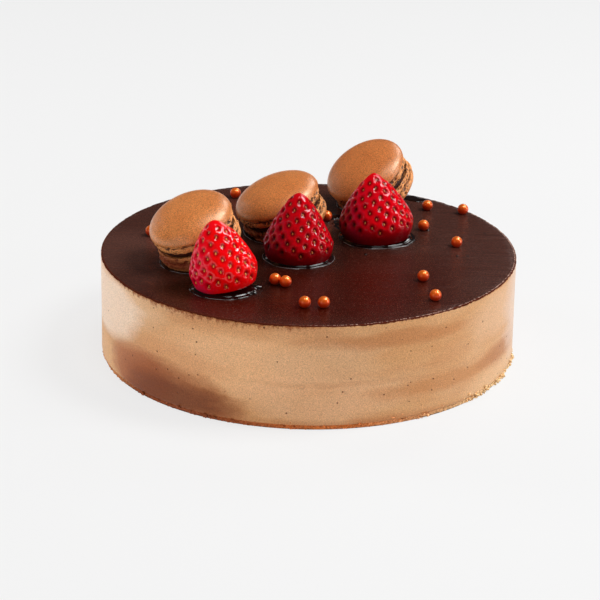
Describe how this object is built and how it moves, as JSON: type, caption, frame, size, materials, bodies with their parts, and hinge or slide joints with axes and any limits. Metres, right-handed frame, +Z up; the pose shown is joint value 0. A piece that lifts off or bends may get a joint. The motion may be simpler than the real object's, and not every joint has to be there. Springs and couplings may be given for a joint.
{
  "type": "entremet cake",
  "caption": "Round chocolate mousse cake with a thin biscuit base and a dark glaze, topped with leaning macarons, whole strawberries and sugar pearls.",
  "frame": {"origin": "under the middle of the cake, on the surface it stands on", "axes": "+Z up; -Y is the front, the side the picture shows; +X to the right"},
  "size_m": [0.1814, 0.1814, 0.075],
  "materials": {
    "biscuit": "crumbly, matte",
    "mousse": "soft satin, fine air bubbles",
    "glaze": "satin gloss, faintly rippled",
    "macaron_shell": "eggshell, finely speckled",
    "macaron_filling": "satin",
    "strawberry": "wet gloss, pitted with seeds",
    "pearl": "pearly sugar gloss"
  },
  "bodies": {
    "root": {"base_biscuit": "biscuit", "mousse": "mousse", "glaze": "glaze", "macaron_1_top_shell": "macaron_shell", "macaron_1_filling": "macaron_filling", "macaron_1_bottom_shell": "macaron_shell", "macaron_2_top_shell": "macaron_shell", "macaron_2_filling": "macaron_filling", "macaron_2_bottom_shell": "macaron_shell", "macaron_3_top_shell": "macaron_shell", "macaron_3_filling": "macaron_filling", "macaron_3_bottom_shell": "macaron_shell", "strawberry_1": "strawberry", "strawberry_2": "strawberry", "strawberry_3": "strawberry"}
  },
  "joints": []
}
